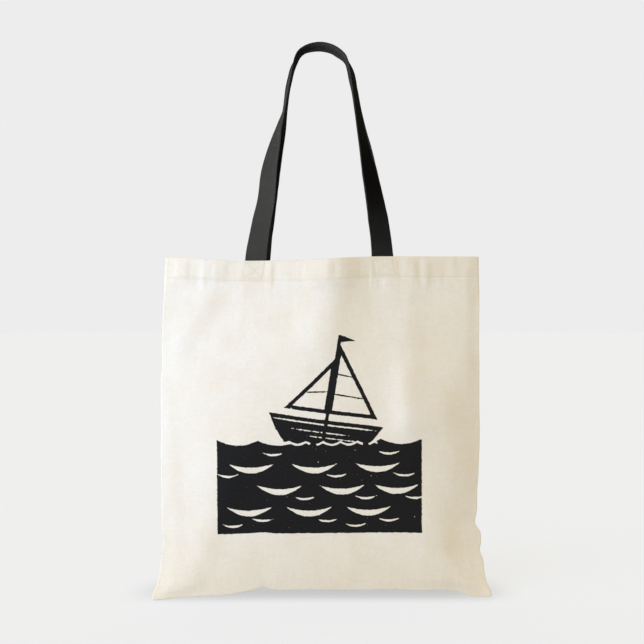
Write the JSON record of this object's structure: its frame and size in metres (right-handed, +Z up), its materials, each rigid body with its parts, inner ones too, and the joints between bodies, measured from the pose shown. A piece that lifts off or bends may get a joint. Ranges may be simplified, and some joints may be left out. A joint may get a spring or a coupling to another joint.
{
  "type": "tote bag",
  "caption": "Flat canvas tote bag with two long webbing handles sewn inside a topstitched hem, and a block print on its front.",
  "frame": {"origin": "the point where both handles rest on a hook or a hand: the middle of the two arches, on their underside", "axes": "+Z up, +X across the bag to the viewer's right, -Y out of the printed front; the bag hangs below the origin"},
  "size_m": [0.392, 0.0538, 0.6491],
  "materials": {
    "canvas": "matte",
    "webbing": "matte",
    "thread": "matte",
    "ink": "matte"
  },
  "bodies": {
    "bag": {"front_panel": "canvas", "back_panel": "canvas", "front_hem": "canvas", "back_hem": "canvas", "front_hem_stitch": "thread", "back_hem_stitch": "thread", "front_left_box_stitch": "thread", "front_right_box_stitch": "thread", "back_left_box_stitch": "thread", "back_right_box_stitch": "thread", "left_side_seam": "thread", "right_side_seam": "thread", "bottom_seam": "thread", "front_print": "ink", "front_handle_left_end": "webbing", "front_handle_right_end": "webbing", "back_handle_left_end": "webbing", "back_handle_right_end": "webbing"},
    "front_handle": {"front_handle": "webbing"},
    "back_handle": {"back_handle": "webbing"}
  },
  "joints": [
    {"name": "front_handle_swing", "type": "hinge", "parent": "bag", "child": "front_handle", "pos_m": [0, -0.0167, -0.248], "axis": [1, 0, 0], "range_deg": [0, 155]},
    {"name": "back_handle_swing", "type": "hinge", "parent": "bag", "child": "back_handle", "pos_m": [0, 0.0167, -0.248], "axis": [-1, 0, 0], "range_deg": [0, 155]}
  ]
}
